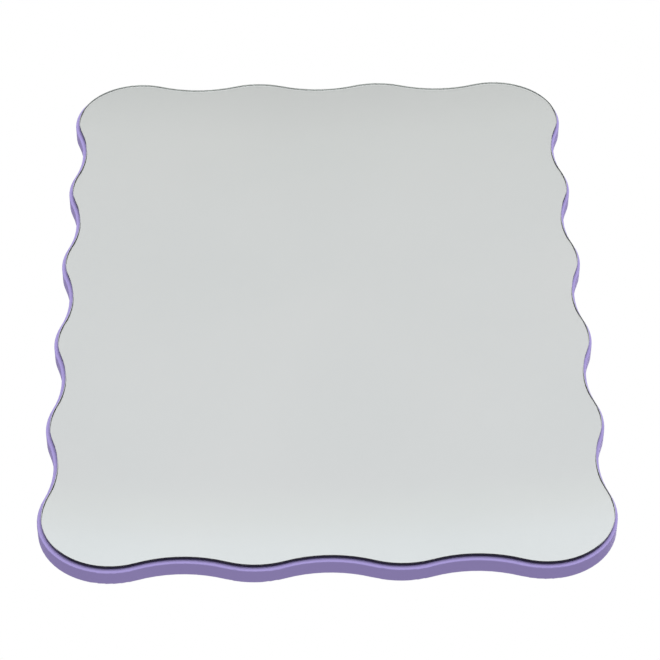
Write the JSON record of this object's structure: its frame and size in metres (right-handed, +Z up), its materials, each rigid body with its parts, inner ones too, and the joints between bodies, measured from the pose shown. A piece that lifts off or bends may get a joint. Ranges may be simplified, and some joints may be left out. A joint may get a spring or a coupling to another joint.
{
  "type": "wavy wall mirror",
  "caption": "Rectangular wall mirror with a scalloped wave outline: flat silvered glass bonded on a lilac lacquered board, hung from D-rings on the back.",
  "frame": {"origin": "on the wall, behind the middle of the mirror, in the plane of the bumper faces", "axes": "+X to the right seen from the front, +Y from the glass to the wall, +Z up as hung upright"},
  "size_m": [0.508, 0.0247, 0.711],
  "materials": {
    "lilac_lacquer": "satin lacquer on fibreboard",
    "silvered_glass": "polished",
    "mirror_tape": "matte",
    "zinc_plated_steel": "zinc plated",
    "screw_steel": "zinc plated",
    "rubber": "matte"
  },
  "bodies": {
    "mirror": {"backing_board": "lilac_lacquer", "mirror_glass": "silvered_glass", "mirror_tape_1": "mirror_tape", "mirror_tape_2": "mirror_tape", "mirror_tape_3": "mirror_tape", "mirror_tape_4": "mirror_tape", "mirror_tape_5": "mirror_tape", "wall_bumper_top_left": "rubber", "wall_bumper_top_right": "rubber", "wall_bumper_bottom_left": "rubber", "wall_bumper_bottom_right": "rubber", "hanger_strap_portrait_left": "zinc_plated_steel", "hanger_strap_portrait_right": "zinc_plated_steel", "hanger_strap_landscape_upper": "zinc_plated_steel", "hanger_strap_landscape_lower": "zinc_plated_steel", "hanger_screws_portrait_left": "screw_steel", "hanger_screws_portrait_right": "screw_steel", "hanger_screws_landscape_upper": "screw_steel", "hanger_screws_landscape_lower": "screw_steel"},
    "ring_portrait_left": {"d_ring_portrait_left": "zinc_plated_steel"},
    "ring_portrait_right": {"d_ring_portrait_right": "zinc_plated_steel"},
    "ring_landscape_upper": {"d_ring_landscape_upper": "zinc_plated_steel"},
    "ring_landscape_lower": {"d_ring_landscape_lower": "zinc_plated_steel"}
  },
  "joints": [
    {"name": "portrait_left_swing", "type": "hinge", "parent": "mirror", "child": "ring_portrait_left", "pos_m": [-0.174, -0.0044, 0.2255], "axis": [-1, 0, 0], "range_deg": [0, 175]},
    {"name": "portrait_right_swing", "type": "hinge", "parent": "mirror", "child": "ring_portrait_right", "pos_m": [0.174, -0.0044, 0.2255], "axis": [-1, 0, 0], "range_deg": [0, 175]},
    {"name": "landscape_upper_swing", "type": "hinge", "parent": "mirror", "child": "ring_landscape_upper", "pos_m": [0.164, -0.0044, 0.1255], "axis": [0, 0, 1], "range_deg": [0, 175]},
    {"name": "landscape_lower_swing", "type": "hinge", "parent": "mirror", "child": "ring_landscape_lower", "pos_m": [0.164, -0.0044, -0.1255], "axis": [0, 0, 1], "range_deg": [0, 175]}
  ]
}
